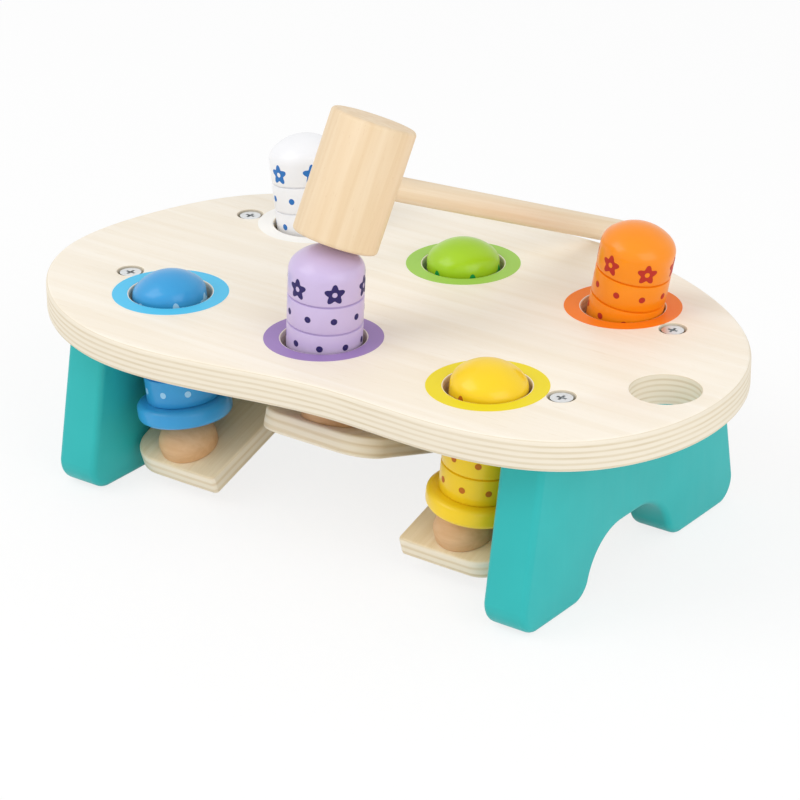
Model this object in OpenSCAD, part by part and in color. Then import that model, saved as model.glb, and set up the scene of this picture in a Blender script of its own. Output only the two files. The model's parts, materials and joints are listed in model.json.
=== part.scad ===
// Peg pounding bench: a bean-shaped plywood top on two arched legs, six pegs in pairs on three
// rocking boards, and a hammer lying across it. Millimetres, +Z up, floor at zero.

/* [Top board] */
// Length of the top board over its outline
board_l = 289; // [240:1:340]
// Depth of the top board over its outline
board_w = 187; // [165:1:220]
// Thickness of the plywood top board
board_t = 12; // [10:0.5:15]
// Height of the board's top face above the floor
bench_h = 80; // [78:0.5:95]
// Offset of the outline from the middle of the peg holes, along the bench
board_x = 4; // [0:0.5:8]
// Offset of the outline from the rocker axis, toward the back
board_y = 1; // [-3:0.5:4]
// Diameter of the plain hole at the right end
park_d = 26; // [14:0.5:28]
// Distance of the plain hole from the middle of the peg holes
park_x = 127.5; // [122:0.5:129]
// Distance of the plain hole from the rocker axis, toward the back
park_y = -10.5; // [-16:0.5:6]

/* [Pegs] */
// Distance between neighbouring peg holes along the bench
peg_pitch = 74; // [70:0.5:75]
// Distance of each row of pegs from the rocker axis
peg_row = 44.5; // [40:0.5:48]
// Diameter of the peg holes
hole_d = 32; // [31.8:0.1:34]
// Diameter of the turned peg body
peg_d = 28.5; // [24:0.5:28.7]
// Height of the peg body from its collar to the crown
peg_h = 51.5; // [51.4:0.1:56]
// Height of the head above its first groove
head_h = 18.3; // [16:0.1:20]
// Radius of the domed crown
crown_r = 18; // [16:0.5:30]
// Radius of the shoulder between the crown and the side
shoulder_r = 6; // [3:0.5:8]
// Width of each turned groove
groove_w = 1.6; // [0.8:0.1:2.4]
// Depth of each turned groove
groove_depth = 0.9; // [0.4:0.1:1.5]
// Diameter of the collar under the board
collar_d = 37; // [33:0.5:37.4]
// Height of the collar
collar_h = 7.5; // [5:0.1:7.6]
// Radius of the collar's rounded edge
collar_r = 2.4; // [1:0.1:2.6]
// Diameter of the tenon that holds the collar
tenon_d = 12; // [8:0.5:15]

/* [Peg lean] */
// Lean of the blue peg to the right
lean_angle_blue = -7; // [-8:0.5:-5]
// Lean of the white peg to the right
lean_angle_white = -7; // [-8:0.5:-5]
// Lean of the purple peg to the right
lean_angle_purple = 3.5; // [-4:0.5:4]
// Lean of the green peg to the right
lean_angle_green = 0; // [-4:0.5:4]
// Lean of the yellow peg to the right
lean_angle_yellow = 7; // [5:0.5:9]
// Lean of the orange peg to the right
lean_angle_orange = 11; // [5:0.5:11]

/* [Legs] */
// Thickness of each leg along the bench
leg_t = 18.5; // [14:0.5:19]
// Distance of each leg's middle from the middle of the peg holes
leg_x = 101.2; // [100.8:0.1:104]
// Offset of the legs' middle from the rocker axis, toward the back
leg_y = -2; // [-6:0.5:2]
// Width of a leg where it meets the board
leg_top_w = 120; // [90:1:122]
// Width of a leg at the floor
leg_foot_w = 147; // [125:1:156]
// Radius of the rounded outer corner of a foot
toe_r = 9.5; // [3:0.5:12]
// Wood left between the arch and the middle of the pivot rod
arch_web = 5; // [4.6:0.1:9]
// Width of the flat between the arch's two corners
arch_flat = 12; // [4:0.5:24]
// Offset of the arch's middle from the rocker axis, toward the back
arch_y = -4; // [-8:0.5:4]
// Radius of the rounded inner corner of a foot
heel_r = 10.5; // [3:0.5:12]

/* [Rockers] */
// Thickness of the plywood rockers
rocker_t = 8; // [7:0.1:8.2]
// Length of the rockers from front to back
rocker_l = 116; // [108:1:124]
// Width of the middle rocker
rocker_w = 54; // [44:0.5:60]
// Width of the side rockers
side_w = 44; // [38:0.5:45]
// Gap between the left rocker and its leg
rocker_end_gap = 1.95; // [1.6:0.05:4]
// Extra gap between the right rocker and its leg
rocker_shift = 4; // [0:0.5:6]
// Radius of the middle rocker's corners and of the outer corners of the side rockers
rocker_r = 13; // [4:0.5:16]
// Radius of the inner corners of the side rockers
rocker_in_r = 2; // [0.5:0.1:4]
// Diameter of the bare wooden button glued under each peg
knob_d = 23; // [18:0.5:24]
// Height of a button
knob_h = 12.5; // [10:0.1:12.6]
// Radius of a button's dome
dome_r = 12.2; // [12.1:0.1:16]
// Distance of the buttons from the rod, along the rocker
knob_row = 44.5; // [43:0.5:45]
// Distance of the bore under mid-thickness, so that a rocker tips over and stays
bore_drop = 0.5; // [0:0.1:0.8]
// Drop of the left rocker's raised collar under the board
lift_gap_left = 2.5; // [2.4:0.1:6]
// Drop of the middle rocker's raised collar under the board
lift_gap_centre = 2.8; // [2:0.1:6]
// Drop of the right rocker's raised collar under the board
lift_gap_right = 4.3; // [4:0.1:7]
// Diameter of the steel pivot rod
rod_d = 4; // [3:0.1:4.4]
// Height of the pivot rod as a share of the bench's height
rod_share = 0.3375; // [0.33:0.0025:0.36]
// Depth of the rod in each leg
rod_grip = 10; // [6:0.5:12]
// Outside diameter of the spacers
spacer_d = 9; // [7:0.5:12]

/* [Screws] */
// Distance of the screws from the middle of the peg holes
screw_x = 100.7; // [97:0.1:104]
// Distance of the screws from the rocker axis
screw_y = 37; // [30:0.5:48]
// Diameter of the screw shank
screw_d = 4; // [3:0.1:5]
// Diameter of the screw head
screw_head_d = 8.4; // [7:0.1:9]
// Height of the screw's tapered head
screw_head_h = 3; // [2.2:0.1:4]
// Length of the screw under its head
screw_l = 30; // [22:1:34]
// Depth of the head's rim under the board's face
screw_sink = 0.6; // [0.2:0.1:1.2]
// Diameter of the countersink at the board's face
sink_d = 10.4; // [9.4:0.1:11]
// Width of the cross recess
recess_w = 1.1; // [0.7:0.1:1.4]
// Length of the cross recess
recess_l = 4.1; // [3:0.1:5.4]
// Depth of the cross recess
recess_depth = 1.5; // [0.8:0.1:2]

/* [Hammer] */
// Diameter of the hammer head
mallet_d = 32.5; // [26:0.5:33]
// Length of the hammer head
mallet_l = 47.5; // [40:0.5:48]
// Radius of the head's rounded edges
mallet_r = 1.6; // [0.6:0.1:3]
// Diameter of the handle
handle_d = 9.5; // [8:0.1:9.8]
// Reach of the handle from the middle of the head
handle_reach = 165; // [145:1:170]
// Depth of the handle past the middle of the head
handle_depth = 9; // [4:0.5:12]
// Radius of the handle's rounded end
handle_r = 1.2; // [0.4:0.1:2]
// Position of the head's middle along the bench
mallet_x = 6.4; // [5.6:0.1:9]
// Position of the head's middle toward the back
mallet_y = -32.8; // [-33.8:0.1:-30]
// Height of the head's middle above the board
mallet_z = 59.4; // [59.2:0.1:68]
// Turn of the handle from the bench's length
mallet_yaw = 79.5; // [74:0.5:80]
// Slope of the handle down to the board's back edge
mallet_pitch = 22.6; // [10:0.1:22.7]
// Roll of the head about the handle
mallet_roll = 3.4; // [-2:0.1:5]

/* [Fits] */
// Gap left at a glued or pressed joint
glue_gap = 0.05; // [0.02:0.01:0.1]
// Gap between a turning piece and its rod
run_gap = 0.05; // [0.02:0.01:0.1]
// Gap left where a peg's collar rests on its button
rest_gap = 0.45; // [0.4:0.05:0.6]
// Gap on each face of a spacer
side_gap = 0.4; // [0.2:0.05:0.6]
// Clearance round a screw's shank in the board
screw_gap = 0.3; // [0.1:0.05:0.6]

/* [Hidden] */
$fn = 96;
overrun = 1;
cross_r = 0.04;
outline_steps = 10;
corner_steps = 8;
outline_shares = [
    [-0.824, -0.812], [-0.507, -1.038], [-0.17, -0.969], [0.161, -0.85],
    [0.493, -0.918], [0.847, -0.801], [1.022, -0.328], [0.99, 0.232],
    [0.788, 0.64], [0.479, 0.912], [0.167, 1.029], [-0.187, 0.961],
    [-0.503, 0.878], [-0.837, 0.651], [-0.976, 0.177], [-1.033, -0.363]
];
under_z = bench_h - board_t;
hole_z = bench_h - board_t / 2;
plate_top = rocker_t / 2 + bore_drop;
dome_z = plate_top + knob_h - dome_r;
leg_in = leg_x - leg_t / 2;
left_out = leg_in - rocker_end_gap;
left_in = left_out - side_w;
right_out = leg_in - rocker_end_gap - rocker_shift;
right_in = right_out - side_w;
knob_spots = [-(left_in + left_out) / 2, 0, (right_in + right_out) / 2];
ring_h = (peg_h - head_h) / 3;
rod_z = rod_share * bench_h;
arch_r = rod_z - arch_web;
rod_half = leg_in + rod_grip;
screw_tip_z = bench_h - screw_sink - screw_head_h - screw_l;
recess_z = bench_h - screw_sink - recess_depth;
handle_dir_y = sin(mallet_yaw) * cos(mallet_pitch);
handle_tip_y = mallet_y + handle_reach * handle_dir_y
    + handle_d / 2 * sqrt(1 - handle_dir_y * handle_dir_y);
origin_x = board_x;
origin_y = (handle_tip_y + board_y - board_w / 2) / 2;

ply_colour = "#f4ead8";
teal_colour = "#3bbcba";
steel_colour = "#b4b8bc";
rocker_colour = "#e6d3ad";
knob_colour = "#e0b98c";
beech_colour = "#eccea5";
blue_colour = "#2b87cf";
white_colour = "#f2f2f4";
purple_colour = "#c8b4de";
green_colour = "#a2cd20";
yellow_colour = "#f4cc22";
orange_colour = "#f2801c";

// Point on the smooth closed outline between control points
function control(i) = outline_shares[i % len(outline_shares)];
function blend(i, t) = (pow(1 - t, 3) * control(i) + (3 * pow(t, 3) - 6 * pow(t, 2) + 4) * control(i + 1)
    + (3 * t + 3 * pow(t, 2) - 3 * pow(t, 3) + 1) * control(i + 2) + pow(t, 3) * control(i + 3)) / 6;
function outline_point(p) = [p[0] * board_l / 2 + board_x, p[1] * board_w / 2 + board_y];
outline = [for (i = [0 : len(outline_shares) - 1], s = [0 : outline_steps - 1])
    outline_point(blend(i, s / outline_steps))];

// Direction of a leaning peg, middle of a button's dome, and the peg's drop from its hole onto the button
function lean_axis(lean) = [sin(lean), 0, cos(lean)];
function hole_point(x, y) = [x * peg_pitch, y * peg_row, hole_z];
function dome_point(x, y, tilt) = [knob_spots[x + 1], y * knob_row * cos(tilt) - dome_z * sin(tilt),
    rod_z + y * knob_row * sin(tilt) + dome_z * cos(tilt)];
function peg_drop(x, y, lean, tilt) = (hole_point(x, y) - dome_point(x, y, tilt)) * lean_axis(lean)
    - dome_r - rest_gap;
function peg_point(x, y, lean, tilt) = hole_point(x, y) - peg_drop(x, y, lean, tilt) * lean_axis(lean);
// Tilt of a rocker whose raised peg has its collar the given drop under the board
function rest_tilt(x, lean, gap) = let (
    drop = (board_t / 2 + gap) / cos(lean) + collar_h,
    aside = (x * peg_pitch - knob_spots[x + 1]) * tan(lean),
    rise = aside + hole_z - rod_z - (drop + dome_r + rest_gap) / cos(lean)
) asin(rise / sqrt(knob_row * knob_row + dome_z * dome_z)) - atan2(dome_z, knob_row);
tilt_left = rest_tilt(-1, lean_angle_white, lift_gap_left);
tilt_centre = rest_tilt(0, lean_angle_purple, lift_gap_centre);
tilt_right = rest_tilt(1, lean_angle_orange, lift_gap_right);

module placed() {
    translate([-origin_x, -origin_y, 0]) children();
}

// Half section of a round slab with rounded rim edges
module slab_section(w, h, r) {
    square([w - r, h]);
    translate([0, r]) square([w, h - 2 * r]);
    translate([w - r, r]) circle(r);
    translate([w - r, h - r]) circle(r);
}

module ring(d_out, d_in, h) {
    difference() {
        cylinder(h = h, d = d_out);
        translate([0, 0, -overrun]) cylinder(h = h + 2 * overrun, d = d_in);
    }
}

module bench_top() {
    color(ply_colour) placed() difference() {
        translate([0, 0, under_z]) linear_extrude(board_t) difference() {
            polygon(outline);
            for (i = [-1 : 1], s = [-1, 1]) translate([i * peg_pitch, s * peg_row]) circle(d = hole_d);
            translate([park_x, park_y]) circle(d = park_d);
        }
        for (sx = [-1, 1], sy = [-1, 1]) translate([sx * screw_x, sy * screw_y, 0]) sink_cut();
    }
}

module sink_cut() {
    shank_d = screw_d + 2 * screw_gap;
    sink_h = screw_sink + screw_head_h;
    translate([0, 0, under_z - overrun]) cylinder(h = board_t + 2 * overrun, d = shank_d);
    translate([0, 0, bench_h - sink_h]) cylinder(h = sink_h, d1 = shank_d, d2 = sink_d);
    translate([0, 0, bench_h - glue_gap]) cylinder(h = overrun, d = sink_d);
}

// Corner of a foot outside its rounding; flank is the slope of the foot's side from upright
module corner_waste(r, flank) {
    reach = r * tan((90 - flank) / 2);
    side = reach * [-sin(flank), cos(flank)];
    out = overrun * [-cos(flank), -sin(flank)];
    difference() {
        polygon([[reach, -overrun], [reach, r], side, side + out, out - [0, overrun]]);
        translate([reach, r]) circle(r + cross_r);
    }
}

module leg_section() {
    top = leg_top_w / 2;
    foot = leg_foot_w / 2;
    flank = atan((top - foot) / under_z);
    difference() {
        polygon([[-foot, 0], [foot, 0], [top, under_z], [-top, under_z]]);
        translate([-foot, 0]) corner_waste(toe_r, flank);
        translate([foot, 0]) mirror([1, 0]) corner_waste(toe_r, flank);
        translate([arch_y - leg_y, 0]) arch_cut();
    }
}

// Arch with its feet's inner corners rounded, each rounding tangent to the arch and to the floor
module arch_cut() {
    heel_y = sqrt(pow(arch_r + heel_r, 2) - pow(heel_r, 2));
    for (s = [-1, 1]) translate([s * arch_flat / 2, 0]) circle(arch_r);
    translate([-arch_flat / 2, -overrun]) square([arch_flat, arch_r + overrun]);
    for (s = [0, 1]) mirror([s, 0]) translate([arch_flat / 2, 0]) difference() {
        polygon([[0, -overrun], [heel_y, -overrun], [heel_y, heel_r], [0, 0]]);
        translate([heel_y, heel_r]) circle(heel_r + cross_r);
    }
}

module leg(side) {
    color(teal_colour) placed() difference() {
        translate([side * leg_x - leg_t / 2, leg_y, 0]) rotate([90, 0, 90])
            linear_extrude(leg_t) leg_section();
        translate([-rod_half - glue_gap, 0, rod_z]) rotate([0, 90, 0])
            cylinder(h = 2 * (rod_half + glue_gap), d = rod_d + 2 * glue_gap);
        for (s = [-1, 1]) translate([side * screw_x, s * screw_y, screw_tip_z - overrun])
            cylinder(h = screw_l + screw_head_h, d = screw_d + 2 * glue_gap);
    }
}

module leg_left() {
    leg(-1);
}

module leg_right() {
    leg(1);
}

module pivot_rod() {
    color(steel_colour) placed() translate([-rod_half, 0, rod_z]) rotate([0, 90, 0])
        cylinder(h = 2 * rod_half, d = rod_d);
}

module tube(x, w) {
    color(steel_colour) placed() translate([x, 0, rod_z]) rotate([0, 90, 0])
        ring(spacer_d, rod_d + 2 * run_gap, w);
}

module spacer_left() {
    tube(-left_in + side_gap, left_in - rocker_w / 2 - 2 * side_gap);
}

module spacer_right() {
    tube(rocker_w / 2 + side_gap, right_in - rocker_w / 2 - 2 * side_gap);
}

module end_spacer_left() {
    tube(-leg_in + side_gap, leg_in - left_out - 2 * side_gap);
}

module end_spacer_right() {
    tube(right_out + side_gap, leg_in - right_out - 2 * side_gap);
}

module screw(sx, sy) {
    color(steel_colour) placed() translate([sx * screw_x, sy * screw_y, 0]) difference() {
        union() {
            translate([0, 0, screw_tip_z + screw_l])
                cylinder(h = screw_head_h, d1 = screw_d, d2 = screw_head_d);
            translate([0, 0, screw_tip_z]) cylinder(h = screw_l, d = screw_d);
        }
        for (turn = [0, 90]) translate([0, 0, recess_z]) rotate([0, 0, turn])
            translate([-recess_w / 2, -recess_l / 2, 0])
            cube([recess_w, recess_l, recess_depth + overrun]);
    }
}

module screw_front_left() {
    screw(-1, -1);
}

module screw_front_right() {
    screw(1, -1);
}

module screw_back_left() {
    screw(-1, 1);
}

module screw_back_right() {
    screw(1, 1);
}

// Rounded corner of a plan, from one end of its quarter turn to the other
function corner(x, y, r, turn) = [for (k = [0 : corner_steps])
    [x + r * cos(turn + 90 * k / corner_steps), y + r * sin(turn + 90 * k / corner_steps)]];

// Plan of a rocker with its own corner radius on each side
module rocker_plan(w, r_left, r_right) {
    h = rocker_l / 2;
    polygon(concat(corner(w - r_right, h - r_right, r_right, 0), corner(r_left, h - r_left, r_left, 90),
        corner(r_left, r_left - h, r_left, 180), corner(w - r_right, r_right - h, r_right, 270)));
}

module on_rocker(x, tilt) {
    placed() translate([x, 0, rod_z]) rotate([tilt, 0, 0]) children();
}

module rocker(x, w, r_left, r_right, tilt) {
    color(rocker_colour) on_rocker(x, tilt) difference() {
        translate([0, 0, plate_top - rocker_t]) linear_extrude(rocker_t) rocker_plan(w, r_left, r_right);
        translate([-overrun, 0, 0]) rotate([0, 90, 0])
            cylinder(h = w + 2 * overrun, d = rod_d + 2 * run_gap);
    }
}

module rocker_left() {
    rocker(-left_out, side_w, rocker_r, rocker_in_r, tilt_left);
}

module rocker_centre() {
    rocker(-rocker_w / 2, rocker_w, rocker_r, rocker_r, -tilt_centre);
}

module rocker_right() {
    rocker(right_in, side_w, rocker_in_r, rocker_r, tilt_right);
}

// Button glued flat side down on a rocker
module knob(x, y, tilt) {
    color(knob_colour) on_rocker(knob_spots[x + 1], tilt)
        translate([0, y * knob_row, plate_top + glue_gap]) intersection() {
            cylinder(h = knob_h, d = knob_d);
            translate([0, 0, knob_h - dome_r - glue_gap]) sphere(dome_r);
        }
}

module on_peg(x, y, lean, tilt) {
    placed() translate(peg_point(x, y, lean, tilt)) rotate([0, lean, 0]) children();
}

// Half section of the body above its collar, with a domed crown
module peg_section() {
    half = peg_d / 2;
    crown_z = peg_h - crown_r;
    shoulder_x = half - shoulder_r;
    shoulder_z = crown_z + sqrt(pow(crown_r - shoulder_r, 2) - pow(shoulder_x, 2));
    far = crown_r / (crown_r - shoulder_r);
    difference() {
        union() {
            square([half, shoulder_z]);
            square([shoulder_x, shoulder_z + glue_gap]);
            intersection() {
                translate([shoulder_x, shoulder_z]) circle(shoulder_r);
                square([half, peg_h]);
            }
            intersection() {
                translate([0, crown_z]) circle(crown_r);
                polygon([[0, crown_z], [shoulder_x * far, crown_z + (shoulder_z - crown_z) * far],
                    [shoulder_x * far, peg_h + overrun], [0, peg_h + overrun]]);
            }
        }
        for (i = [1 : 3]) translate([half, i * ring_h]) groove_waste();
    }
}

module groove_waste() {
    polygon([[-groove_depth, 0], [overrun, groove_w / 2 * (overrun + groove_depth) / groove_depth],
        [overrun, -groove_w / 2 * (overrun + groove_depth) / groove_depth]]);
}

module peg_body(paint) {
    color(paint) {
        translate([0, 0, collar_h]) rotate_extrude() peg_section();
        cylinder(h = collar_h + glue_gap, d = tenon_d);
    }
}

module peg_collar(paint) {
    color(paint) difference() {
        rotate_extrude() slab_section(collar_d / 2, collar_h - glue_gap, collar_r);
        translate([0, 0, -overrun]) cylinder(h = collar_h + 2 * overrun, d = tenon_d + 2 * glue_gap);
    }
}

module peg_blue() {
    on_peg(-1, -1, lean_angle_blue, tilt_left) peg_body(blue_colour);
}

module collar_blue() {
    on_peg(-1, -1, lean_angle_blue, tilt_left) peg_collar(blue_colour);
}

module knob_blue() {
    knob(-1, -1, tilt_left);
}

module peg_white() {
    on_peg(-1, 1, lean_angle_white, tilt_left) peg_body(white_colour);
}

module collar_white() {
    on_peg(-1, 1, lean_angle_white, tilt_left) peg_collar(white_colour);
}

module knob_white() {
    knob(-1, 1, tilt_left);
}

module peg_purple() {
    on_peg(0, -1, lean_angle_purple, -tilt_centre) peg_body(purple_colour);
}

module collar_purple() {
    on_peg(0, -1, lean_angle_purple, -tilt_centre) peg_collar(purple_colour);
}

module knob_purple() {
    knob(0, -1, -tilt_centre);
}

module peg_green() {
    on_peg(0, 1, lean_angle_green, -tilt_centre) peg_body(green_colour);
}

module collar_green() {
    on_peg(0, 1, lean_angle_green, -tilt_centre) peg_collar(green_colour);
}

module knob_green() {
    knob(0, 1, -tilt_centre);
}

module peg_yellow() {
    on_peg(1, -1, lean_angle_yellow, tilt_right) peg_body(yellow_colour);
}

module collar_yellow() {
    on_peg(1, -1, lean_angle_yellow, tilt_right) peg_collar(yellow_colour);
}

module knob_yellow() {
    knob(1, -1, tilt_right);
}

module peg_orange() {
    on_peg(1, 1, lean_angle_orange, tilt_right) peg_body(orange_colour);
}

module collar_orange() {
    on_peg(1, 1, lean_angle_orange, tilt_right) peg_collar(orange_colour);
}

module knob_orange() {
    knob(1, 1, tilt_right);
}

module on_hammer() {
    placed() translate([mallet_x, mallet_y, bench_h + mallet_z]) rotate([0, 0, mallet_yaw])
        rotate([0, mallet_pitch, 0]) rotate([mallet_roll, 0, 0]) children();
}

module hammer_head() {
    color(beech_colour) on_hammer() difference() {
        translate([0, 0, -mallet_l / 2]) rotate_extrude() slab_section(mallet_d / 2, mallet_l, mallet_r);
        translate([-handle_depth - glue_gap, 0, 0]) rotate([0, 90, 0])
            cylinder(h = mallet_d, d = handle_d + 2 * glue_gap);
    }
}

module hammer_handle() {
    color(beech_colour) on_hammer() translate([-handle_depth, 0, 0]) rotate([0, 90, 0])
        rotate_extrude() slab_section(handle_d / 2, handle_depth + handle_reach, handle_r);
}

bench_top();
leg_left();
leg_right();
pivot_rod();
spacer_left();
spacer_right();
end_spacer_left();
end_spacer_right();
screw_front_left();
screw_front_right();
screw_back_left();
screw_back_right();
rocker_left();
rocker_centre();
rocker_right();
peg_blue();
collar_blue();
knob_blue();
peg_white();
collar_white();
knob_white();
peg_purple();
collar_purple();
knob_purple();
peg_green();
collar_green();
knob_green();
peg_yellow();
collar_yellow();
knob_yellow();
peg_orange();
collar_orange();
knob_orange();
hammer_head();
hammer_handle();
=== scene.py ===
import json
import math

import bmesh
import bpy
from mathutils import Matrix, Quaternion, Vector


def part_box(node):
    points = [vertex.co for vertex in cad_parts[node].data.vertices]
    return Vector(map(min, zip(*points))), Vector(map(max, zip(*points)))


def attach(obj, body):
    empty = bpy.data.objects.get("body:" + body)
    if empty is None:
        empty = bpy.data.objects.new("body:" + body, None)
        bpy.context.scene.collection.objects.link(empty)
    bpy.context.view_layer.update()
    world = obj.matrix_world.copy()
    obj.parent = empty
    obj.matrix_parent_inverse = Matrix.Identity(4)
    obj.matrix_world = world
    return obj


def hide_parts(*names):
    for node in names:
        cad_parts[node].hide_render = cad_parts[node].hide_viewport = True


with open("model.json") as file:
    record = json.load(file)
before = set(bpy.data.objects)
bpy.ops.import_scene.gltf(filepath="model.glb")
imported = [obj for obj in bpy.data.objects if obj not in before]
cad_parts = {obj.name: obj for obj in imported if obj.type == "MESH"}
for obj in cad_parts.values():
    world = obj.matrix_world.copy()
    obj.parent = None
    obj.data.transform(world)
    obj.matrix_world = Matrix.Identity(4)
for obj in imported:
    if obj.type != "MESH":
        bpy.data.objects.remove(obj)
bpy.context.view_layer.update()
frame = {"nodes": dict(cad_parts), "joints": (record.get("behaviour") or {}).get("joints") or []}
mm = 0.001
joints = {joint["name"]: joint for joint in frame["joints"]}
pivot = Vector(joints["rocker_left_tilt"]["pos_m"])  # middle of the peg holes, on the pivot rod
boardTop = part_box("bench_top")[1].z
pegRow = 44.5  # mm from the pivot rod to each row of pegs, along a rocker and along the board
print("frame loaded:", len(frame["nodes"]), "nodes")


# sRGB hex to linear colour
def hexColour(code):
    channels = [int(code[i:i + 2], 16) / 255 for i in (1, 3, 5)]
    return [c / 12.92 if c <= 0.04045 else ((c + 0.055) / 1.055) ** 2.4 for c in channels] + [1]


# adds one node with its settings; an input is a value or the socket it links from
def addNode(tree, kind, inputs=None, **settings):
    node = tree.nodes.new(kind)
    for name, value in settings.items():
        setattr(node, name, value)
    for socket, value in (inputs or {}).items():
        if isinstance(value, bpy.types.NodeSocket):
            tree.links.new(value, node.inputs[socket])
        else:
            node.inputs[socket].default_value = value
    return node


def startMaterial(name):
    material = bpy.data.materials.new(name)
    material.use_nodes = True
    tree = material.node_tree
    tree.nodes.clear()
    shader = addNode(tree, "ShaderNodeBsdfPrincipled")
    addNode(tree, "ShaderNodeOutputMaterial", {"Surface": shader.outputs[0]})
    return material, tree, shader


# pattern coordinates in a piece's own frame, in metres, stretched by sizes in mm per repeat
def patternSpace(tree, place, sizes):
    back = place.inverted()
    coords = addNode(tree, "ShaderNodeTexCoord")
    local = addNode(tree, "ShaderNodeMapping", {
        "Vector": coords.outputs["Object"], "Location": back.translation, "Rotation": back.to_euler()})
    return addNode(tree, "ShaderNodeMapping", {
        "Vector": local.outputs[0], "Scale": [1 / (size * mm) for size in sizes]}).outputs[0]


flat = Matrix.Identity(4)

# Looks of the woods: colours, then pattern sizes in mm (along the grain, across it)
birchFace = dict(light="#f9f1e3", dark="#f3e8d5", fleck="#e3d3b6", grain=(130, 6.0), flecks=(9, 0.6),
                 fleckFrom=0.64, fleckMix=0.3, roughness=0.46, bump=0.03)
birchInside = dict(light="#f0dfbe", dark="#e4cfa6", fleck="#cfb486", grain=(80, 2.4), flecks=(6, 0.5),
                   fleckFrom=0.64, fleckMix=0.3, roughness=0.6, bump=0.06)
beechHead = dict(light="#ecd6b6", dark="#e3c8a2", fleck="#cfaa7c", grain=(90, 4.5), flecks=(3.0, 0.5),
                 fleckFrom=0.66, fleckMix=0.35, roughness=0.5, bump=0.05)
beechDowel = dict(light="#f0dfc5", dark="#e8d2b0", fleck="#d6b88e", grain=(90, 1.8), flecks=(3, 0.4),
                  fleckFrom=0.67, fleckMix=0.3, roughness=0.52, bump=0.05)
beechKnob = dict(light="#dfb78a", dark="#d3a778", fleck="#b98c5c", grain=(40, 3.0), flecks=(2.2, 0.4),
                 fleckFrom=0.67, fleckMix=0.3, roughness=0.55, bump=0.06)

# What all the woods share: where bands and pores start in their noise, change of roughness, depth in mm
woodPattern = dict(bandFrom=0.32, bandTo=0.68, poreSpan=0.08, smoother=0.06, rougher=0.08, relief=0.4)


# planed or turned wood: long soft bands of colour, short darker pores, a matt clear finish
def makeWood(name, look, place, grainAxis):
    material, tree, shader = startMaterial(name)
    along, across = look["grain"]
    longFleck, fineFleck = look["flecks"]
    bandSizes = [along if axis == grainAxis else across for axis in range(3)]
    poreSizes = [longFleck if axis == grainAxis else fineFleck for axis in range(3)]
    bands = addNode(tree, "ShaderNodeTexNoise", {
        "Vector": patternSpace(tree, place, bandSizes), "Scale": 1, "Detail": 4, "Roughness": 0.55,
        "Distortion": 0.4})
    pores = addNode(tree, "ShaderNodeTexNoise", {
        "Vector": patternSpace(tree, place, poreSizes), "Scale": 1, "Detail": 2, "Roughness": 0.6})
    bandShare = addNode(tree, "ShaderNodeMapRange", {
        "Value": bands.outputs[0], "From Min": woodPattern["bandFrom"], "From Max": woodPattern["bandTo"]})
    poreFrom = look["fleckFrom"]
    poreShare = addNode(tree, "ShaderNodeMapRange", {
        "Value": pores.outputs[0], "From Min": poreFrom, "From Max": poreFrom + woodPattern["poreSpan"],
        "To Max": look["fleckMix"]})
    banded = addNode(tree, "ShaderNodeMix", {
        0: bandShare.outputs[0], 6: hexColour(look["light"]), 7: hexColour(look["dark"])}, data_type="RGBA")
    pored = addNode(tree, "ShaderNodeMix", {
        0: poreShare.outputs[0], 6: banded.outputs[2], 7: hexColour(look["fleck"])}, data_type="RGBA")
    smoothest = look["roughness"] - woodPattern["smoother"]
    roughest = look["roughness"] + woodPattern["rougher"]
    rough = addNode(tree, "ShaderNodeMapRange", {
        "Value": bands.outputs[0], "To Min": smoothest, "To Max": roughest})
    relief = addNode(tree, "ShaderNodeBump", {
        "Strength": look["bump"], "Distance": woodPattern["relief"] * mm, "Height": pores.outputs[0]})
    tree.links.new(pored.outputs[2], shader.inputs["Base Color"])
    tree.links.new(rough.outputs[0], shader.inputs["Roughness"])
    tree.links.new(relief.outputs[0], shader.inputs["Normal"])
    return material


# Sawn plywood: the board's edge is lacquered and a little darker than the rockers' bare one
boardEdge = dict(light="#eae0cd", dark="#e0d3ba", streak="#cdbb99", waver=0.6, roughness=0.6)
rockerEdge = dict(light="#f3e8d3", dark="#e8d8ba", streak="#d6c29b", waver=0.6, roughness=0.65)

# What both edges share: pattern sizes in mm, where plies and streaks start in their noise, depth in mm
plyPattern = dict(waver=(24, 24, 6), grain=(22, 22, 0.5), plyFrom=0.3, streakFrom=0.42, streakTo=0.7,
                  streakMix=0.75, rougher=0.15, bump=0.2, relief=0.3)


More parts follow.
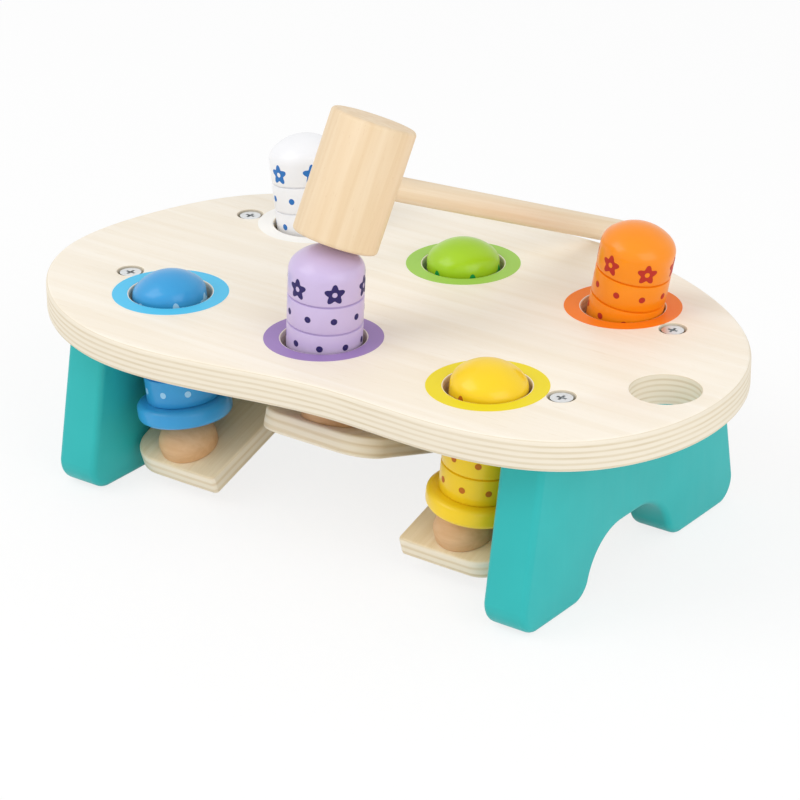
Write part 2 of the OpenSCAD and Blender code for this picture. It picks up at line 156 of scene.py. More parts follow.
# sawn plywood edge: pale and dark plies in turn, with the dark ones streaked by their end grain
def makePlyEdge(name, look, place, plyMm):
    material, tree, shader = startMaterial(name)
    waver = addNode(tree, "ShaderNodeTexNoise", {
        "Vector": patternSpace(tree, place, plyPattern["waver"]), "Scale": 1, "Detail": 3})
    grain = addNode(tree, "ShaderNodeTexNoise", {
        "Vector": patternSpace(tree, place, plyPattern["grain"]), "Scale": 1, "Detail": 3,
        "Roughness": 0.65})
    height = addNode(tree, "ShaderNodeSeparateXYZ", {0: patternSpace(tree, place, (plyMm,) * 3)})
    lifted = addNode(tree, "ShaderNodeMath", {
        0: waver.outputs[0], 1: look["waver"], 2: height.outputs["Z"]}, operation="MULTIPLY_ADD")
    ply = addNode(tree, "ShaderNodeMath", {0: lifted.outputs[0], 1: 1}, operation="PINGPONG")
    plyShare = addNode(tree, "ShaderNodeMapRange", {
        "Value": ply.outputs[0], "From Min": plyPattern["plyFrom"], "From Max": 1},
        interpolation_type="SMOOTHSTEP")
    streakShare = addNode(tree, "ShaderNodeMapRange", {
        "Value": grain.outputs[0], "From Min": plyPattern["streakFrom"],
        "From Max": plyPattern["streakTo"], "To Max": plyPattern["streakMix"]})
    darkShare = addNode(tree, "ShaderNodeMath", {
        0: plyShare.outputs[0], 1: streakShare.outputs[0]}, operation="MULTIPLY")
    plied = addNode(tree, "ShaderNodeMix", {
        0: plyShare.outputs[0], 6: hexColour(look["light"]), 7: hexColour(look["dark"])}, data_type="RGBA")
    streaked = addNode(tree, "ShaderNodeMix", {
        0: darkShare.outputs[0], 6: plied.outputs[2], 7: hexColour(look["streak"])}, data_type="RGBA")
    roughest = look["roughness"] + plyPattern["rougher"]
    rough = addNode(tree, "ShaderNodeMapRange", {
        "Value": plyShare.outputs[0], "To Min": look["roughness"], "To Max": roughest})
    relief = addNode(tree, "ShaderNodeBump", {
        "Strength": plyPattern["bump"], "Distance": plyPattern["relief"] * mm,
        "Height": grain.outputs[0]})
    tree.links.new(streaked.outputs[2], shader.inputs["Base Color"])
    tree.links.new(rough.outputs[0], shader.inputs["Roughness"])
    tree.links.new(relief.outputs[0], shader.inputs["Normal"])
    return material


# Paint and ink: size of the cloud in the colour and depth of the marks in mm, then shares
paintFilm = dict(cloud=18, relief=0.25, spread=0.07, specular=0.24, cloudFrom=0.3, cloudTo=0.7,
                 cloudMix=0.35)


# satin paint on wood: even colour with a faint cloud, fine tool marks and wood fibres under it
def makePaint(name, colour, deeper, place, finish):
    material, tree, shader = startMaterial(name)
    roughness, spread = finish["roughness"], paintFilm["spread"]
    cloud = addNode(tree, "ShaderNodeTexNoise", {
        "Vector": patternSpace(tree, place, (paintFilm["cloud"],) * 3), "Scale": 1, "Detail": 3})
    tool = addNode(tree, "ShaderNodeTexNoise", {
        "Vector": patternSpace(tree, place, finish["marks"]), "Scale": 1, "Detail": 3, "Roughness": 0.6})
    share = addNode(tree, "ShaderNodeMapRange", {
        "Value": cloud.outputs[0], "From Min": paintFilm["cloudFrom"],
        "From Max": paintFilm["cloudTo"], "To Max": paintFilm["cloudMix"]})
    tinted = addNode(tree, "ShaderNodeMix", {
        0: share.outputs[0], 6: hexColour(colour), 7: hexColour(deeper)}, data_type="RGBA")
    rough = addNode(tree, "ShaderNodeMapRange", {
        "Value": tool.outputs[0], "To Min": roughness - spread, "To Max": roughness + spread})
    relief = addNode(tree, "ShaderNodeBump", {
        "Strength": finish["bump"], "Distance": paintFilm["relief"] * mm, "Height": tool.outputs[0]})
    shader.inputs["Specular IOR Level"].default_value = paintFilm["specular"]
    shader.inputs["Coat Weight"].default_value = finish["coat"]
    shader.inputs["Coat Roughness"].default_value = finish["coatRoughness"]
    tree.links.new(tinted.outputs[2], shader.inputs["Base Color"])
    tree.links.new(rough.outputs[0], shader.inputs["Roughness"])
    tree.links.new(relief.outputs[0], shader.inputs["Normal"])
    return material


# Zinc: colours, size of its blotches in mm, least and greatest roughness
zincPlate = dict(light="#eceded", dark="#cfd2d4", blotch=1.5, smoothest=0.24, roughest=0.42)


# bright zinc plate on steel: grey metal, blurred reflections, faint blotches
def makeZinc(name):
    material, tree, shader = startMaterial(name)
    blotch = addNode(tree, "ShaderNodeTexNoise", {
        "Vector": patternSpace(tree, flat, (zincPlate["blotch"],) * 3), "Scale": 1, "Detail": 4})
    light, dark = hexColour(zincPlate["light"]), hexColour(zincPlate["dark"])
    tinted = addNode(tree, "ShaderNodeMix", {0: blotch.outputs[0], 6: light, 7: dark}, data_type="RGBA")
    rough = addNode(tree, "ShaderNodeMapRange", {
        "Value": blotch.outputs[0], "To Min": zincPlate["smoothest"], "To Max": zincPlate["roughest"]})
    shader.inputs["Metallic"].default_value = 1
    tree.links.new(tinted.outputs[2], shader.inputs["Base Color"])
    tree.links.new(rough.outputs[0], shader.inputs["Roughness"])
    return material


# makes a bmesh an object in the frame, smooth but for edges sharper than the angle
def finishMesh(name, bm, place, materials, sharpAngle=38):
    bmesh.ops.recalc_face_normals(bm, faces=bm.faces)
    mesh = bpy.data.meshes.new(name)
    bm.to_mesh(mesh)
    bm.free()
    mesh.transform(place)
    for material in materials:
        mesh.materials.append(material)
    for polygon in mesh.polygons:
        polygon.use_smooth = True
    mesh.set_sharp_from_angle(angle=math.radians(sharpAngle))
    obj = bpy.data.objects.new(name, mesh)
    bpy.context.scene.collection.objects.link(obj)
    return obj


# points (radius, height) of an arc in a turned profile, in mm
def arc(centre, radius, start, end, steps):
    angles = [math.radians(start + (end - start) * i / steps) for i in range(steps + 1)]
    return [(centre[0] + radius * math.cos(a), centre[1] + radius * math.sin(a)) for a in angles]


# spins a profile in mm about the local Z axis; ends at radius zero become poles
def turn(name, profile, place, materials, closed=False, segments=96, sharpAngle=38):
    bm = bmesh.new()
    rings = []
    angles = [2 * math.pi * i / segments for i in range(segments)]
    for radius, height in profile:
        if radius < 1e-6:
            rings.append([bm.verts.new((0, 0, height * mm))])
            continue
        circle = [Vector((math.cos(a), math.sin(a))) * radius for a in angles]
        rings.append([bm.verts.new((p.x * mm, p.y * mm, height * mm)) for p in circle])
    pairs = list(zip(rings, rings[1:])) + ([(rings[-1], rings[0])] if closed else [])
    for low, high in pairs:
        for i in range(segments):
            j = (i + 1) % segments
            corners = [low[i % len(low)], low[j % len(low)], high[j % len(high)], high[i % len(high)]]
            bm.faces.new(list(dict.fromkeys(corners)))
    return finishMesh(name, bm, place, materials, sharpAngle)


# boundary loops of a CAD node's flat face, in the plate's own frame, at its highest local Z; limits in mm
def faceLoops(node, place, weld=0.002, level=0.01):
    bm = bmesh.new()
    bm.from_mesh(frame["nodes"][node].data)
    bmesh.ops.transform(bm, matrix=place.inverted(), verts=bm.verts)
    bmesh.ops.remove_doubles(bm, verts=bm.verts, dist=weld * mm)
    top = max(v.co.z for v in bm.verts)
    bottom = min(v.co.z for v in bm.verts)
    flatFaces = {f for f in bm.faces if all(abs(v.co.z - top) < level * mm for v in f.verts)}
    follows = {}
    for face in flatFaces:
        for loop in face.loops:
            if not any(other in flatFaces for other in loop.edge.link_faces if other is not face):
                follows[loop.vert] = loop.link_loop_next.vert
    loops = []
    while follows:
        start, vert = next(iter(follows.items()))
        points = [start.co.xy.copy()]
        del follows[start]
        while vert is not start:
            points.append(vert.co.xy.copy())
            vert = follows.pop(vert)
        loops.append(points)
    bm.free()
    return loops, top, bottom


# drops crowded points from a loop, then rounds its gentle bends with more points, so that curves look smooth
def refine(points, steps, spacing=0.9, gentle=25):
    kept = []
    for point in points:
        if not kept or (point - kept[-1]).length > spacing * mm:
            kept.append(point)
    if (kept[0] - kept[-1]).length < spacing * mm:
        kept.pop()
    count = len(kept)
    sides = [kept[(i + 1) % count] - kept[i] for i in range(count)]
    sharp = [abs(sides[i].angle_signed(sides[i - 1])) > math.radians(gentle) for i in range(count)]
    smooth = []
    for i in range(count):
        side, ahead = sides[i], sides[(i + 1) % count]
        start = side if sharp[i] else (sides[i - 1] + side)  # the longer side sets the direction at a bend
        end = side if sharp[(i + 1) % count] else (side + ahead)
        start, end = start.normalized() * side.length, end.normalized() * side.length
        for s in range(steps):
            t = s / steps
            smooth.append(kept[i] + side * (3 * t * t - 2 * t ** 3)
                          + start * (t ** 3 - 2 * t * t + t) + end * (t ** 3 - t * t))
    return smooth


# a flat plate from the loops of a CAD node's face, with the rim of each loop rounded
def roundedPlate(name, node, place, rimRadius, materials, holeRadius=None, steps=2, rimSteps=5, mitre=0.4):
    loops, top, bottom = faceLoops(node, place)
    bm = bmesh.new()
    lids = {top: [], bottom: []}
    areas = [sum(p.cross(loop[i - 1]) for i, p in enumerate(loop)) for loop in loops]
    outer = max(range(len(loops)), key=lambda i: abs(areas[i]))
    for index, loop in enumerate(loops):
        radius = rimRadius if index == outer or holeRadius is None else holeRadius
        points = refine(loop, steps)
        count = len(points)
        insets = []
        for i in range(count):
            ahead = (points[(i + 1) % count] - points[i]).normalized()
            behind = (points[i] - points[i - 1]).normalized()
            normals = [Vector((-d.y, d.x)) for d in (ahead, behind)]
            middle = (normals[0] + normals[1]).normalized()
            insets.append(middle / max(middle.dot(normals[0]), mitre))
        quarter = [math.pi / 2 * s / rimSteps for s in range(rimSteps + 1)]
        rows = [(radius * (1 - math.sin(a)), top - radius * (1 - math.cos(a))) for a in quarter]
        rows += [(radius * (1 - math.cos(a)), bottom + radius * (1 - math.sin(a))) for a in quarter]
        rings = [[bm.verts.new((*(p + n * inset), z)) for p, n in zip(points, insets)] for inset, z in rows]
        for step, (high, low) in enumerate(zip(rings, rings[1:])):
            onSide = rimSteps // 2 <= step <= 2 * rimSteps - rimSteps // 2
            for i in range(count):
                face = bm.faces.new((high[i], low[i], low[(i + 1) % count], high[(i + 1) % count]))
                face.material_index = len(materials) - 1 if onSide else 0
        for lid, ring in ((top, rings[0]), (bottom, rings[-1])):
            lids[lid] += [bm.edges.get((ring[i], ring[(i + 1) % count])) for i in range(count)]
    for edges in lids.values():
        bmesh.ops.triangle_fill(bm, use_beauty=True, edges=edges)
    return finishMesh(name, bm, place, materials, sharpAngle=30)


def rideOn(obj, body, slot, *nodes):
    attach(obj, body)
    if nodes:
        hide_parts(*nodes)
    return obj


# Top board: pale lacquered birch plywood, grain along the bench, softly rounded edges
board = dict(rim=1.6, holeRim=0.5, plies=11, firstPly=0.3)
boardLow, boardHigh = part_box("bench_top")
boardPly = (boardHigh.z - boardLow.z) / mm / board["plies"]
boardFace = makeWood("lacquered birch veneer", birchFace, flat, 0)
boardFoot = Matrix.Translation((0, 0, boardLow.z + board["firstPly"] * boardPly * mm))
boardSide = makePlyEdge("birch plywood edge", boardEdge, boardFoot, boardPly)
boardPiece = roundedPlate("bench_board", "bench_top", flat, board["rim"] * mm, [boardFace, boardSide],
                          board["holeRim"] * mm, steps=3)
rideOn(boardPiece, "bench", "birch_ply", "bench_top")
print("top board made:", len(boardPiece.data.polygons), "faces")

# Legs: solid beech under teal satin paint, well rounded edges
legs = dict(rim=2.6, colour="#30b5b4", deeper="#2aaaaa",
            finish=dict(marks=(2.2, 2.2, 30), roughness=0.42, bump=0.05, coat=0, coatRoughness=0.03))
tealPaint = makePaint("teal satin paint", legs["colour"], legs["deeper"], flat, legs["finish"])
for side, turnAngle in (("left", -90), ("right", 90)):
    outward = Matrix.Rotation(math.radians(turnAngle), 4, "Y")
    node = "leg_" + side
    legPiece = roundedPlate("leg_block_" + side, node, outward, legs["rim"] * mm, [tealPaint], steps=4)
    rideOn(legPiece, "bench", "teal_paint", node)
print("legs made")

# Rockers: bare birch plywood on the steel rod, each at its own tilt, with two turned buttons glued on; mm
rockers = dict(rim=1.1, plies=5, firstPly=0.3)
knob = dict(radius=11.5, height=12.45, dome=12.2, bend=3, foot=0.4, glue=0.05)
knobColours = {"left": ("blue", "white"), "centre": ("purple", "green"), "right": ("yellow", "orange")}


# half profile of a button: flat foot, short side, domed top
def knobProfile():
    radius, dome, bend, foot = knob["radius"], knob["dome"], knob["bend"], knob["foot"]
    middle = knob["height"] - dome
    bendX = radius - bend
    bendZ = middle + math.sqrt((dome - bend) ** 2 - bendX ** 2)
    meet = math.degrees(math.atan2(bendZ - middle, bendX))
    points = [(0, 0)] + arc((radius - foot, foot), foot, -90, 0, 3) + arc((bendX, bendZ), bend, 0, meet, 4)
    return points + arc((0, middle), dome, meet, 90, 12)[1:-1] + [(0, knob["height"])]


for side, colours in knobColours.items():
    tilt = max(joints["rocker_%s_tilt" % side]["range_deg"], key=abs) / -2
    place = Matrix.Translation(pivot) @ Matrix.Rotation(math.radians(tilt), 4, "X")
    topZ, lowZ = faceLoops("rocker_" + side, place)[1:]
    plyMm = (topZ - lowZ) / mm / rockers["plies"]
    face = makeWood("bare birch veneer " + side, birchInside, place, 1)
    firstPly = place @ Matrix.Translation((0, 0, lowZ + rockers["firstPly"] * plyMm * mm))
    edge = makePlyEdge("bare plywood edge " + side, rockerEdge, firstPly, plyMm)
    plate = roundedPlate("rocker_plate_" + side, "rocker_" + side, place, rockers["rim"] * mm, [face, edge])
    rideOn(plate, "rocker_" + side, "rocker_ply", "rocker_" + side)
    for colour, way in zip(colours, (-1, 1)):
        low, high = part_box("knob_" + colour)
        spot = place @ Matrix.Translation((
            (low.x + high.x) / 2 - pivot.x, way * pegRow * mm, topZ + knob["glue"] * mm))
        wood = makeWood("bare turned beech " + colour, beechKnob, spot, 0)
        button = turn("button_" + colour, knobProfile(), spot, [wood])
        rideOn(button, "rocker_" + side, "bare_wood", "knob_" + colour)
print("rockers made")

# Steel: rod, spacers and screws keep their CAD shapes
zinc = makeZinc("bright zinc plated steel")
for name in frame["nodes"]:
    if name.split("_")[0] in ("pivot", "spacer", "end", "screw"):
        frame["nodes"][name].data.materials.clear()
        frame["nodes"][name].data.materials.append(zinc)
print("steel pieces plated")

# Pegs, in mm along each peg's own axis from the underside of its collar
peg = dict(collar=7.5, body=51.5, head=18.3, rings=3, radius=14.25, crown=18, shoulder=6,
           grooveWide=0.9, grooveDeep=0.9, grooveFlat=0.4, lip=0.3, lipDrop=0.08, footEdge=0.5, footCut=0.15,
           collarRadius=18.5, collarRound=2.4, tenon=6, fit=0.05,
           finish=dict(marks=(12, 12, 0.9), roughness=0.34, bump=0.05, coat=0.3, coatRoughness=0.16))
pegColours = {
    "blue": dict(at=(-1, -1), paint="#389fda", deeper="#2d8fce", ring="#52c4ee", ink="#9fd2f2"),
    "white": dict(at=(-1, 1), paint="#f3f3f5", deeper="#e9eaee", ring="#fbf9f4", ink="#2f74bd"),
    "purple": dict(at=(0, -1), paint="#cbbadf", deeper="#bfacd6", ring="#9c7fb8", ink="#2d2460"),
    "green": dict(at=(0, 1), paint="#a3d01e", deeper="#94c114", ring="#a0cd52", ink="#109a44"),
    "yellow": dict(at=(1, -1), paint="#f6d01c", deeper="#ecc212", ring="#ecd81a", ink="#c06c14"),
    "orange": dict(at=(1, 1), paint="#f8910f", deeper="#ee8208", ring="#f58016", ink="#b92f22"),
}


# where the underside of a peg's collar is centred, from the collar's box, and how far the peg leans
def pegPlace(colour):
    axis = Vector(joints["peg_%s_slide" % colour]["axis"])
    low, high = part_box("collar_" + colour)
    centre = (low + high) / 2 - axis * (peg["collar"] - peg["fit"]) / 2 * mm
    return Matrix.Translation(centre) @ Matrix.Rotation(math.atan2(axis.x, axis.z), 4, "Y")


# half profile of a peg's body: tenon, side with turned grooves, shoulder and domed crown
def bodyProfile():
    base = peg["collar"]
    top = base + peg["body"]
    side = peg["radius"]
    ring = (peg["body"] - peg["head"]) / peg["rings"]
    edge, cut = peg["footEdge"], peg["footCut"]
    points = [(0, 0), (peg["tenon"], 0), (peg["tenon"], base), (side - edge, base)]
    points += [(side - cut, base + cut), (side, base + edge)]
    half, lip, lipX = peg["grooveWide"] / 2, peg["lip"], side - peg["lipDrop"]
    low, bed = side - peg["grooveDeep"], peg["grooveFlat"] / 2
    for i in range(1, peg["rings"] + 1):
        middle = base + i * ring
        points += [(side, middle - half - lip), (lipX, middle - half), (low, middle - bed)]
        points += [(low, middle + bed), (lipX, middle + half), (side, middle + half + lip)]
    crownZ = top - peg["crown"]
    reach = peg["crown"] - peg["shoulder"]
    shoulderX = side - peg["shoulder"]
    shoulderZ = crownZ + math.sqrt(reach ** 2 - shoulderX ** 2)
    meet = math.degrees(math.atan2(shoulderZ - crownZ, shoulderX))
    points += arc((shoulderX, shoulderZ), peg["shoulder"], 0, meet, 8)
    points += arc((0, crownZ), peg["crown"], meet, 90, 10)[1:-1] + [(0, top)]
    return points


def collarProfile():
    low, high = 0, peg["collar"] - peg["fit"]
    inner, outer, bend = peg["tenon"] + peg["fit"], peg["collarRadius"], peg["collarRound"]
    rim = arc((outer - bend, low + bend), bend, -90, 0, 6) + arc((outer - bend, high - bend), bend, 0, 90, 6)
    return [(inner, low)] + rim + [(inner, high)]


for colour, look in pegColours.items():
    place = pegPlace(colour)
    body = "peg_" + colour
    slot = colour + "_paint"
    turned = makePaint(colour + " satin paint on turned beech", look["paint"], look["deeper"], place,
                       peg["finish"])
    bodyPiece = turn("body_" + colour, bodyProfile(), place, [turned])
    collarPiece = turn("ring_" + colour, collarProfile(), place, [turned], closed=True)
    rideOn(bodyPiece, body, slot, "peg_" + colour)
    rideOn(collarPiece, body, slot, "collar_" + colour)
print("pegs made")

# Painted ring round each hole: a film of printed colour on the board; mm
holeRing = dict(pitch=74, inner=16.55, outer=22.4, film=0.06,
                finish=dict(marks=(1.5, 1.5, 1.5), roughness=0.45, bump=0.03, coat=0, coatRoughness=0.03))
for colour, look in pegColours.items():
    across, behind = look["at"][0] * holeRing["pitch"] * mm, look["at"][1] * pegRow * mm
    place = Matrix.Translation((pivot.x + across, pivot.y + behind, boardTop))
    printed = makePaint("printed ring " + colour, look["ring"], look["ring"], place, holeRing["finish"])
    inner, outer, film = holeRing["inner"], holeRing["outer"], holeRing["film"]
    ends = [(inner, 0), (outer, 0), (outer, film), (inner, film)]
    ringPiece = turn("hole_ring_" + colour, ends, place, [printed], closed=True, segments=128)
    rideOn(ringPiece, "bench", colour + "_paint")
print("hole rings made")

# Hammer: turned beech head on a beech dowel, leaning over a peg and the board's back edge; degrees and mm
hammer = dict(yaw=79.5, pitch=22.6, roll=3.4, radius=16.25, length=47.5, edge=1.6, handle=4.75, reach=165,
              depth=9, handleEnd=1.2)
headLow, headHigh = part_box("hammer_head")
headPlace = Matrix.Translation((headLow + headHigh) / 2)
for angle, axis in ((hammer["yaw"], "Z"), (hammer["pitch"], "Y"), (hammer["roll"], "X")):
    headPlace = headPlace @ Matrix.Rotation(math.radians(angle), 4, axis)
handlePlace = headPlace @ Matrix.Rotation(math.radians(90), 4, "Y")


def rodProfile(radius, low, high, edge, steps):
    flatTo = radius - edge
    lowEnd = arc((flatTo, low + edge), edge, -90, 0, steps)
    return [(0, low)] + lowEnd + arc((flatTo, high - edge), edge, 0, 90, steps) + [(0, high)]


half = hammer["length"] / 2
headWood = makeWood("turned beech", beechHead, headPlace, 2)
handleWood = makeWood("beech dowel", beechDowel, handlePlace, 2)
headProfile = rodProfile(hammer["radius"], -half, half, hammer["edge"], 5)
handleProfile = rodProfile(hammer["handle"], -hammer["depth"], hammer["reach"], hammer["handleEnd"], 4)
head = turn("hammer_block", headProfile, headPlace, [headWood], segments=128)
handle = turn("hammer_dowel", handleProfile, handlePlace, [handleWood], segments=64)
rideOn(head, "hammer", "beech", "hammer_head")
rideOn(handle, "hammer", "beech", "hammer_handle")
print("hammer made")

# Prints on the pegs, in mm: a row of flowers round each head and rows of dots on the rings below
prints = dict(flowers=6, flowerSize=3.3, flowerWave=0.85, flowerHole=1.0, flowerHeight=38.4, petals=5,
              dots=9, dotSize=1.25, dotHole=0.05, sides=40, bands=3, turn=0.35, film=0.06, weld=0.01,
              finish=dict(marks=(1.2, 1.2, 1.2), roughness=0.5, bump=0.03, coat=0, coatRoughness=0.03))


# a flat motif in the YZ plane: a ring whose outer edge waves in petals, or a plain disc
def motif(size, wave, hole, petals):
    bm = bmesh.new()
    count, bands = prints["sides"], prints["bands"]
    rows = []
    for step in range(bands + 1):
        row = []
        for i in range(count):
            a = 2 * math.pi * i / count
            outer = size + wave * math.cos(petals * a)
            r = (hole + (outer - hole) * step / bands) * mm
            row.append(bm.verts.new((0, r * math.sin(a), r * math.cos(a))))
        rows.append(row)
    for low, high in zip(rows, rows[1:]):
        for i in range(count):
            bm.faces.new((low[i], low[(i + 1) % count], high[(i + 1) % count], high[i]))
    mesh = bpy.data.meshes.new("motif")
    bm.to_mesh(mesh)
    bm.free()
    return mesh


# repeats a motif round a peg and lays it on the peg's side
def makeWrapTree():
    tree = bpy.data.node_groups.new("print row", "GeometryNodeTree")
    tree.interface.new_socket("Geometry", in_out="OUTPUT", socket_type="NodeSocketGeometry")
    wanted = (("Geometry", "NodeSocketGeometry"), ("Repeats", "NodeSocketInt"),
              ("Peg Radius", "NodeSocketFloat"), ("Height", "NodeSocketFloat"),
              ("First Turn", "NodeSocketFloat"), ("Ink", "NodeSocketMaterial"))
    for name, kind in wanted:
        tree.interface.new_socket(name, in_out="INPUT", socket_type=kind)
    given = addNode(tree, "NodeGroupInput").outputs
    circle = addNode(tree, "GeometryNodeMeshCircle", {
        "Vertices": given["Repeats"], "Radius": given["Peg Radius"]})
    index = addNode(tree, "GeometryNodeInputIndex")
    step = addNode(tree, "ShaderNodeMath", {0: 2 * math.pi, 1: given["Repeats"]}, operation="DIVIDE")
    angle = addNode(tree, "ShaderNodeMath", {0: index.outputs[0], 1: step.outputs[0]}, operation="MULTIPLY")
    euler = addNode(tree, "ShaderNodeCombineXYZ", {"Z": angle.outputs[0]})
    copies = addNode(tree, "GeometryNodeInstanceOnPoints", {
        "Points": circle.outputs["Mesh"], "Instance": given["Geometry"], "Rotation": euler.outputs[0]})
    real = addNode(tree, "GeometryNodeRealizeInstances", {0: copies.outputs[0]})
    spin = addNode(tree, "ShaderNodeCombineXYZ", {"Z": given["First Turn"]})
    rise = addNode(tree, "ShaderNodeCombineXYZ", {"Z": given["Height"]})
    moved = addNode(tree, "GeometryNodeTransform", {
        "Geometry": real.outputs[0], "Translation": rise.outputs[0], "Rotation": spin.outputs[0]})
    place = addNode(tree, "GeometryNodeInputPosition")
    parts = addNode(tree, "ShaderNodeSeparateXYZ", {0: place.outputs[0]})
    plan = addNode(tree, "ShaderNodeCombineXYZ", {"X": parts.outputs["X"], "Y": parts.outputs["Y"]})
    outward = addNode(tree, "ShaderNodeVectorMath", {0: plan.outputs[0]}, operation="NORMALIZE")
    onSide = addNode(tree, "ShaderNodeVectorMath", {
        0: outward.outputs[0], "Scale": given["Peg Radius"]}, operation="SCALE")
    lift = addNode(tree, "ShaderNodeCombineXYZ", {"Z": parts.outputs["Z"]})
    target = addNode(tree, "ShaderNodeVectorMath", {
        0: onSide.outputs[0], 1: lift.outputs[0]}, operation="ADD")
    wrapped = addNode(tree, "GeometryNodeSetPosition", {
        "Geometry": moved.outputs[0], "Position": target.outputs[0]})
    inked = addNode(tree, "GeometryNodeSetMaterial", {
        "Geometry": wrapped.outputs[0], "Material": given["Ink"]})
    addNode(tree, "NodeGroupOutput", {0: inked.outputs[0]})
    return tree


wrapTree = makeWrapTree()


# runs the tree on a motif and returns the plain mesh
def wrappedRow(mesh, values):
    obj = bpy.data.objects.new("row", mesh)
    bpy.context.scene.collection.objects.link(obj)
    modifier = obj.modifiers.new("row", "NODES")
    modifier.node_group = wrapTree
    for item in wrapTree.interface.items_tree:
        if item.in_out == "INPUT" and item.name in values:
            modifier[item.identifier] = values[item.name]
    evaluated = obj.evaluated_get(bpy.context.evaluated_depsgraph_get())
    result = bpy.data.meshes.new_from_object(evaluated)
    bpy.data.objects.remove(obj)
    return result


for colour, look in pegColours.items():
    place = pegPlace(colour)
    ink = makePaint("screen printed ink " + colour, look["ink"], look["ink"], place, prints["finish"])
    base = peg["collar"]
    ringHigh = (peg["body"] - peg["head"]) / peg["rings"]
    flower = motif(prints["flowerSize"], prints["flowerWave"], prints["flowerHole"], prints["petals"])
    rows = [(flower, prints["flowers"], base + prints["flowerHeight"], prints["turn"])]
    for i in range(peg["rings"]):
        dot = motif(prints["dotSize"], 0, prints["dotHole"], 1)
        rows.append((dot, prints["dots"], base + (i + 0.5) * ringHigh, prints["turn"] * i))
    bm = bmesh.new()
    for mesh, repeats, height, firstTurn in rows:
        bm.from_mesh(wrappedRow(mesh, {
            "Repeats": repeats, "Peg Radius": (peg["radius"] + prints["film"]) * mm, "Height": height * mm,
            "First Turn": firstTurn, "Ink": ink}))
    bmesh.ops.remove_doubles(bm, verts=bm.verts, dist=prints["weld"] * mm)
    bmesh.ops.recalc_face_normals(bm, faces=bm.faces)
    bmesh.ops.solidify(bm, geom=bm.faces, thickness=prints["film"] * mm)
    printPiece = finishMesh("print_" + colour, bm, place, [ink], sharpAngle=60)
    rideOn(printPiece, "peg_" + colour, colour + "_paint")
print("prints made")

# Camera: the photograph's place, worked out from the hole rings; angles in degrees, lengths in mm
view = dict(aim=(56.14, -73.0), azimuth=36.66, elevation=24.67, distance=1120.3, roll=-0.45, lens=142.62)
aim = Vector((pivot.x + view["aim"][0] * mm, pivot.y + view["aim"][1] * mm, boardTop))
azimuth, elevation = math.radians(view["azimuth"]), math.radians(view["elevation"])
level = math.cos(elevation)
back = Vector((math.sin(azimuth) * level, -math.cos(azimuth) * level, math.sin(elevation)))
camera = bpy.data.objects.new("camera", bpy.data.cameras.new("camera"))
camera.data.lens = view["lens"]
camera.data.sensor_fit = "HORIZONTAL"
camera.location = aim + back * view["distance"] * mm
camera.rotation_mode = "QUATERNION"
aimed = (-back).to_track_quat("-Z", "Y")
camera.rotation_quaternion = aimed @ Quaternion((0, 0, 1), math.radians(view["roll"]))
bpy.context.scene.collection.objects.link(camera)
bpy.context.scene.camera = camera


# one for rays that show the backdrop itself, zero for those that only carry its light
def seenShare(tree):
    path = addNode(tree, "ShaderNodeLightPath").outputs
    seen = addNode(tree, "ShaderNodeMath", {
        0: path["Is Camera Ray"], 1: path["Is Glossy Ray"]}, operation="MAXIMUM")
    return addNode(tree, "ShaderNodeMath", {
        0: seen.outputs[0], 1: path["Is Transmission Ray"]}, operation="MAXIMUM").outputs[0]


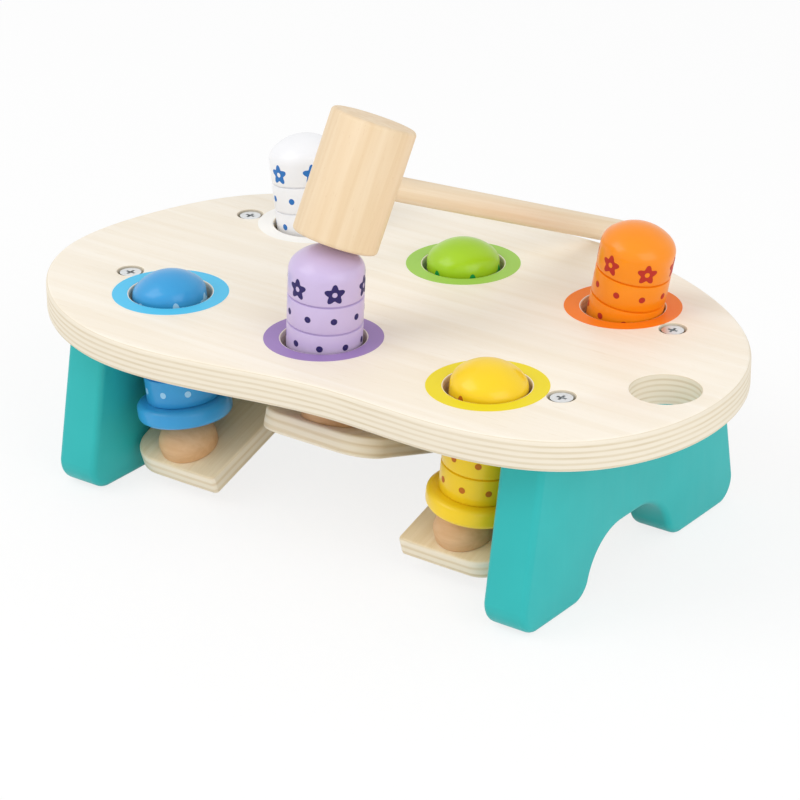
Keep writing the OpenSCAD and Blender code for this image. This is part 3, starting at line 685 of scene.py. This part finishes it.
# Floor: white seamless paper that glows where it is seen, so that the shadow on it is faint; the paper's
# size is in metres, and its clouds and the gap under the feet are in mm
backdrop = dict(size=40, light="#fdfdfd", shade="#fbfbfb", cloud=40, glow=0.8, under=0.2, roughness=0.9,
                specular=0.1)
bm = bmesh.new()
bmesh.ops.create_grid(bm, x_segments=1, y_segments=1, size=backdrop["size"] / 2)
paper, paperTree, paperShader = startMaterial("white backdrop paper")
paperNoise = addNode(paperTree, "ShaderNodeTexNoise", {
    "Vector": patternSpace(paperTree, flat, (backdrop["cloud"],) * 3), "Scale": 1})
paperTint = addNode(paperTree, "ShaderNodeMix", {
    0: paperNoise.outputs[0], 6: hexColour(backdrop["light"]), 7: hexColour(backdrop["shade"])},
    data_type="RGBA")
paperShader.inputs["Roughness"].default_value = backdrop["roughness"]
paperShader.inputs["Specular IOR Level"].default_value = backdrop["specular"]
paperTree.links.new(paperTint.outputs[2], paperShader.inputs["Base Color"])
paperGlow = addNode(paperTree, "ShaderNodeEmission", {"Color": (1, 1, 1, 1), "Strength": 1})
paperShare = addNode(paperTree, "ShaderNodeMath", {
    0: seenShare(paperTree), 1: backdrop["glow"]}, operation="MULTIPLY")
paperShown = addNode(paperTree, "ShaderNodeMixShader", {
    0: paperShare.outputs[0], 1: paperShader.outputs[0], 2: paperGlow.outputs[0]})
paperTree.links.new(paperShown.outputs[0], paperTree.nodes["Material Output"].inputs["Surface"])
floor = finishMesh("floor", bm, Matrix.Translation((0, 0, -backdrop["under"] * mm)), [paper])

# Light: a wide soft key from the left, a weaker fill from the right, and an even sky; metres and watts
lampAim = Vector((0, 0, 0.05))
lamps = dict(
    key=dict(at=(-0.9, -1.1, 1.5), power=14, size=1.3),
    fill=dict(at=(1.5, -0.5, 0.9), power=10.5, size=1.4),
)
for name, lamp in lamps.items():
    data = bpy.data.lights.new(name, "AREA")
    data.energy = lamp["power"]
    data.size = lamp["size"]
    light = bpy.data.objects.new(name, data)
    light.location = lamp["at"]
    light.rotation_mode = "QUATERNION"
    light.rotation_quaternion = (lampAim - Vector(lamp["at"])).to_track_quat("-Z", "Y")
    bpy.context.scene.collection.objects.link(light)

sky = dict(strength=0.68)
world = bpy.data.worlds.new("studio")
bpy.context.scene.world = world
world.use_nodes = True
skyTree = world.node_tree
skyTree.nodes.clear()
dim = addNode(skyTree, "ShaderNodeBackground", {"Color": (1, 1, 1, 1), "Strength": sky["strength"]})
white = addNode(skyTree, "ShaderNodeBackground", {"Color": (1, 1, 1, 1), "Strength": 1})
mixed = addNode(skyTree, "ShaderNodeMixShader", {
    0: seenShare(skyTree), 1: dim.outputs[0], 2: white.outputs[0]})
addNode(skyTree, "ShaderNodeOutputWorld", {"Surface": mixed.outputs[0]})
bpy.context.scene.view_settings.view_transform = "Standard"
print("camera, floor and light made")
